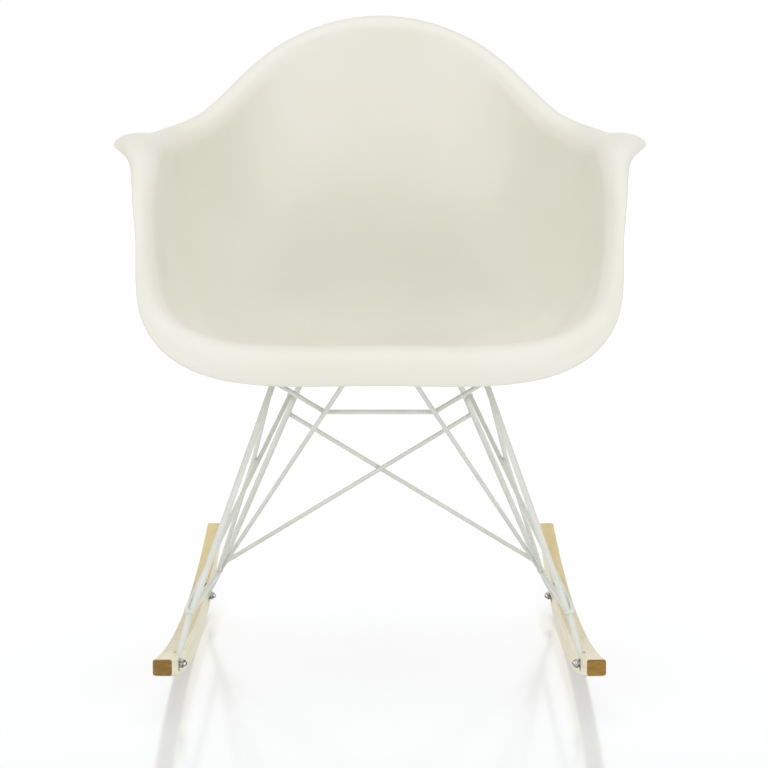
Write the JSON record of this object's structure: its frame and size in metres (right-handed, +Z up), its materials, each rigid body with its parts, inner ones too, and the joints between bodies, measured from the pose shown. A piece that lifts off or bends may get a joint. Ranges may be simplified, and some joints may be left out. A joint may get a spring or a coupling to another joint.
{
  "type": "moulded plastic rocking chair",
  "caption": "Moulded plastic armchair shell on a welded white rod base that stands on bent maple rockers.",
  "frame": {"origin": "on the floor under the middle of the rockers, half way between them", "axes": "+X across the chair towards its right side as seen from in front, +Y towards the back, +Z up"},
  "size_m": [0.642, 0.81, 0.7627],
  "materials": {
    "shell_plastic": "fine satin moulding with a soft sheen",
    "rocker_wood": "light maple under clear satin lacquer",
    "rod_paint": "off-white powder coat on steel rod, satin",
    "bolt_chrome": "bright plated fasteners",
    "fixing_steel": "zinc plated steel",
    "mount_rubber": "black rubber",
    "insert_brass": "knurled brass insert, plain bore"
  },
  "bodies": {
    "root": {"brace_hoop": "rod_paint", "cap_nut_front_left": "bolt_chrome", "cap_nut_front_right": "bolt_chrome", "cap_nut_rear_left": "bolt_chrome", "cap_nut_rear_right": "bolt_chrome", "cross_brace_left": "rod_paint", "cross_brace_right": "rod_paint", "front_leg_left": "rod_paint", "front_leg_right": "rod_paint", "front_stretcher": "rod_paint", "mount_plate_front_left": "fixing_steel", "mount_plate_front_right": "fixing_steel", "mount_plate_rear_left": "fixing_steel", "mount_plate_rear_right": "fixing_steel", "rail_left": "rod_paint", "rail_right": "rod_paint", "rear_leg_left": "rod_paint", "rear_leg_right": "rod_paint", "rocker_bolt_front_left": "bolt_chrome", "rocker_bolt_front_right": "bolt_chrome", "rocker_bolt_rear_left": "bolt_chrome", "rocker_bolt_rear_right": "bolt_chrome", "rocker_left": "rocker_wood", "rocker_right": "rocker_wood", "rocker_washer_front_left": "bolt_chrome", "rocker_washer_front_right": "bolt_chrome", "rocker_washer_rear_left": "bolt_chrome", "rocker_washer_rear_right": "bolt_chrome", "seat_screw_front_left": "fixing_steel", "seat_screw_front_right": "fixing_steel", "seat_screw_rear_left": "fixing_steel", "seat_screw_rear_right": "fixing_steel", "seat_shell": "shell_plastic", "shock_mount_front_left": "mount_rubber", "shock_mount_front_right": "mount_rubber", "shock_mount_rear_left": "mount_rubber", "shock_mount_rear_right": "mount_rubber", "side_brace_aft_left": "rod_paint", "side_brace_aft_right": "rod_paint", "side_brace_fore_left": "rod_paint", "side_brace_fore_right": "rod_paint", "threaded_insert_front_left": "insert_brass", "threaded_insert_front_right": "insert_brass", "threaded_insert_rear_left": "insert_brass", "threaded_insert_rear_right": "insert_brass"}
  },
  "joints": []
}
